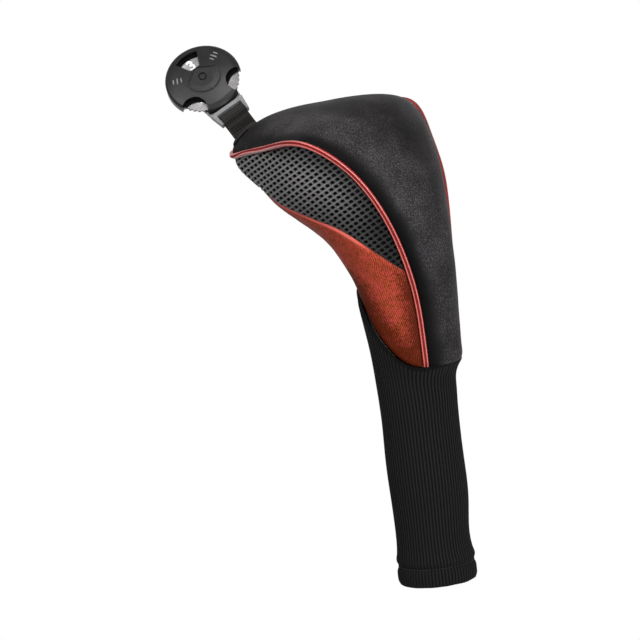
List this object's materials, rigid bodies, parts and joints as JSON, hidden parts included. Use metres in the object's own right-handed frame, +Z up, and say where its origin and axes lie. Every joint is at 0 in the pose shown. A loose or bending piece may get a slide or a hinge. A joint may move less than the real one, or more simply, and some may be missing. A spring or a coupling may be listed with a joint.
{
  "type": "golf driver head cover",
  "caption": "Beaked driver head cover with black crown, perforated mesh and red cheeks, red piping, a rib-knit sock and a rotating number tag on a webbing strap.",
  "frame": {"origin": "centre of the sock's mouth, in the plane of its lower edge", "axes": "+Z up the sock towards the hood, -X towards the beak, the cover is symmetric about Y = 0"},
  "size_m": [0.2047, 0.129, 0.3475],
  "materials": {
    "crown_neoprene": "soft sheen, fine grain",
    "red_twill": "satin twill",
    "black_mesh": "perforated",
    "dark_foam": "matte",
    "fleece": "matte",
    "red_piping": "glossy",
    "cord": "matte",
    "rib_knit": "ribbed knit",
    "binding_tape": "matte",
    "elastic": "matte",
    "black_thread": "matte",
    "webbing": "woven",
    "tag_black": "satin",
    "tag_grey": "satin",
    "washer_nylon": "matte",
    "dial_silver": "satin silver"
  },
  "bodies": {
    "cover": {"crown_panel": "crown_neoprene", "throat_panel_left": "red_twill", "throat_panel_right": "red_twill", "mesh_panel_left": "black_mesh", "mesh_panel_right": "black_mesh", "mesh_backing_left": "dark_foam", "mesh_backing_right": "dark_foam", "crown_lining": "fleece", "cheek_lining_left": "fleece", "cheek_lining_right": "fleece", "piping_cover": "red_piping", "piping_core": "cord", "sock": "rib_knit", "neck_binding": "binding_tape", "neck_elastic": "elastic", "hem_thread": "black_thread", "strap_tab": "webbing", "tab_stitching": "black_thread"},
    "strap": {"tag_strap": "webbing", "strap_bar_tack": "black_thread"},
    "tag": {"tag_front_cover": "tag_black", "tag_back_cover": "tag_grey", "center_rivet": "tag_black", "friction_washer": "washer_nylon"},
    "dial": {"number_dial": "dial_silver"}
  },
  "joints": [
    {"name": "strap_flex", "type": "hinge", "parent": "cover", "child": "strap", "pos_m": [-0.11561, 0, 0.29967], "axis": [-0.5474, -0.7193, -0.4277], "range_deg": [-50, 50], "stiffness_Nm_per_rad": 0.03},
    {"name": "tag_swing", "type": "hinge", "parent": "strap", "child": "tag", "pos_m": [-0.12115, 0, 0.30676], "axis": [-0.5474, -0.7193, -0.4277], "range_deg": [-70, 45]},
    {"name": "dial_spin", "type": "hinge", "parent": "tag", "child": "dial", "pos_m": [-0.1464, 0.00672, 0.32777], "axis": [0.3355, -0.6568, 0.6753], "continuous": true}
  ]
}
